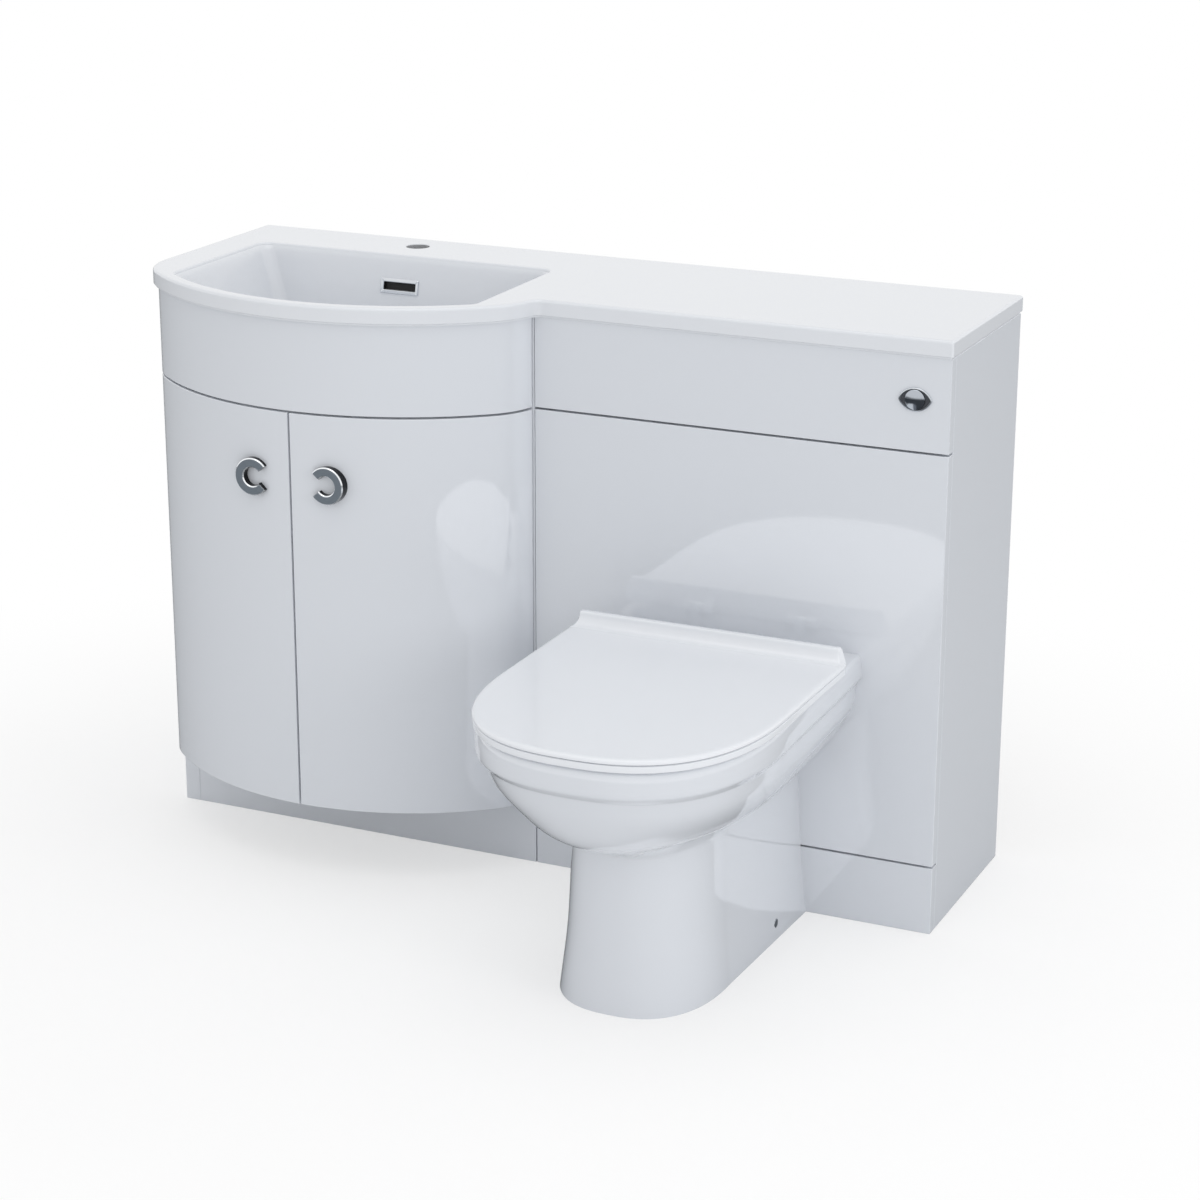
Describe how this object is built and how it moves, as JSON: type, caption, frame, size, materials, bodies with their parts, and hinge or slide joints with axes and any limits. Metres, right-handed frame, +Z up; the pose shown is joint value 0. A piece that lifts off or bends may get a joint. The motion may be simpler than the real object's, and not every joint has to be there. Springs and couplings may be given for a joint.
{
  "type": "toilet and basin combination unit",
  "caption": "Bow-fronted basin cabinet joined to a toilet cabinet under one worktop, with a moulded bowl, curved doors, a hidden cistern and a back-to-wall pan.",
  "frame": {"origin": "centre of the footprint at floor level", "axes": "+X along the wall from the basin to the toilet, +Y back to the wall, +Z up"},
  "size_m": [1.204, 0.85, 0.836],
  "materials": {
    "cabinet_gloss": "white mirror-gloss lacquer on board",
    "worktop_resin": "white gloss cast resin",
    "pan_ceramic": "white gloss glaze",
    "seat_plastic": "white gloss moulded seat",
    "dark_chrome": "polished dark nickel",
    "bright_chrome": "polished chrome",
    "zinc_steel": "zinc-plated steel",
    "carcass_white": "white satin carcass board",
    "cistern_plastic": "white moulded plastic",
    "valve_plastic": "grey moulded plastic",
    "black_rubber": "matt black rubber"
  },
  "bodies": {
    "root": {"basin_worktop": "worktop_resin", "overflow_trim": "bright_chrome", "left_end_panel": "cabinet_gloss", "basin_right_panel": "cabinet_gloss", "basin_base": "carcass_white", "basin_shelf": "carcass_white", "shelf_pins": "bright_chrome", "basin_back_rails": "carcass_white", "basin_front_rail": "carcass_white", "basin_plinth": "cabinet_gloss", "curved_apron": "cabinet_gloss", "left_hinge_arms": "zinc_steel", "right_hinge_arms": "zinc_steel", "wc_left_panel": "cabinet_gloss", "wc_right_panel": "cabinet_gloss", "wc_plinth": "cabinet_gloss", "wc_upper_panel": "cabinet_gloss", "wc_main_panel": "cabinet_gloss", "wc_front_battens": "carcass_white", "wc_back_rails": "carcass_white", "wall_brackets": "zinc_steel", "panel_clips": "valve_plastic", "cistern_tank": "cistern_plastic", "cistern_lid": "cistern_plastic", "cistern_brackets": "zinc_steel", "fill_valve": "valve_plastic", "flush_valve": "valve_plastic", "flush_pipe": "cistern_plastic", "flush_cone": "black_rubber", "air_hose": "black_rubber", "button_bezel": "bright_chrome", "button_nut": "zinc_steel", "button_spring": "zinc_steel", "toilet_pan": "pan_ceramic", "seat_hinge_posts": "bright_chrome", "seat_hinge_nuts": "cistern_plastic", "pan_floor_brackets": "zinc_steel", "pan_fixing_screws": "bright_chrome", "outlet_seal": "black_rubber"},
    "left_link_body": {"left_hinge_links": "zinc_steel"},
    "left_door_body": {"left_door": "cabinet_gloss", "left_handle": "dark_chrome", "left_handle_screws": "zinc_steel", "left_hinge_plates": "zinc_steel"},
    "right_link_body": {"right_hinge_links": "zinc_steel"},
    "right_door_body": {"right_door": "cabinet_gloss", "right_handle": "dark_chrome", "right_handle_screws": "zinc_steel", "right_hinge_plates": "zinc_steel"},
    "seat_body": {"toilet_seat": "seat_plastic", "seat_buffers": "cistern_plastic"},
    "lid_body": {"toilet_lid": "seat_plastic", "lid_buffers": "cistern_plastic"},
    "button_body": {"flush_button": "bright_chrome"},
    "plunger_body": {"flush_plunger": "cistern_plastic"},
    "float_body": {"float_cup": "black_rubber"}
  },
  "joints": [
    {"name": "left_hinge_link", "type": "hinge", "parent": "root", "child": "left_link_body", "pos_m": [-0.54, 0.086, 0.39], "axis": [0, 0, 1], "range_deg": [0, 50]},
    {"name": "left_door", "type": "hinge", "parent": "left_link_body", "child": "left_door_body", "pos_m": [-0.57213, 0.11456, 0.39], "axis": [0, 0, -1], "range_deg": [0, 145]},
    {"name": "right_hinge_link", "type": "hinge", "parent": "root", "child": "right_link_body", "pos_m": [-0.056, 0.086, 0.39], "axis": [0, 0, -1], "range_deg": [0, 37]},
    {"name": "right_door", "type": "hinge", "parent": "right_link_body", "child": "right_door_body", "pos_m": [-0.02387, 0.11456, 0.39], "axis": [0, 0, 1], "range_deg": [0, 106.8]},
    {"name": "toilet_lid", "type": "hinge", "parent": "root", "child": "lid_body", "pos_m": [0.3, 0.055, 0.403], "axis": [-1, 0, 0], "range_deg": [0, 95]},
    {"name": "toilet_seat", "type": "hinge", "parent": "root", "child": "seat_body", "pos_m": [0.3, 0.055, 0.403], "axis": [-1, 0, 0], "range_deg": [0, 92.2]},
    {"name": "flush_button", "type": "slide", "parent": "root", "child": "button_body", "axis": [0, 1, 0], "range_m": [0, 0.005], "stiffness_N_per_m": 600, "springref_m": -0.004, "deforming": ["button_spring"]},
    {"name": "flush_plunger", "type": "slide", "parent": "root", "child": "plunger_body", "axis": [0, 0, 1], "range_m": [0, 0.015]},
    {"name": "cistern_float", "type": "slide", "parent": "root", "child": "float_body", "axis": [0, 0, 1], "range_m": [0, 0.09]}
  ],
  "couplings": [
    {"joint": "left_hinge_link", "follows": "left_door", "ratio": 0.3448},
    {"joint": "right_hinge_link", "follows": "right_door", "ratio": 0.3448},
    {"joint": "toilet_seat", "follows": "toilet_lid", "ratio": 0.97},
    {"joint": "flush_plunger", "follows": "flush_button", "ratio": 3}
  ]
}
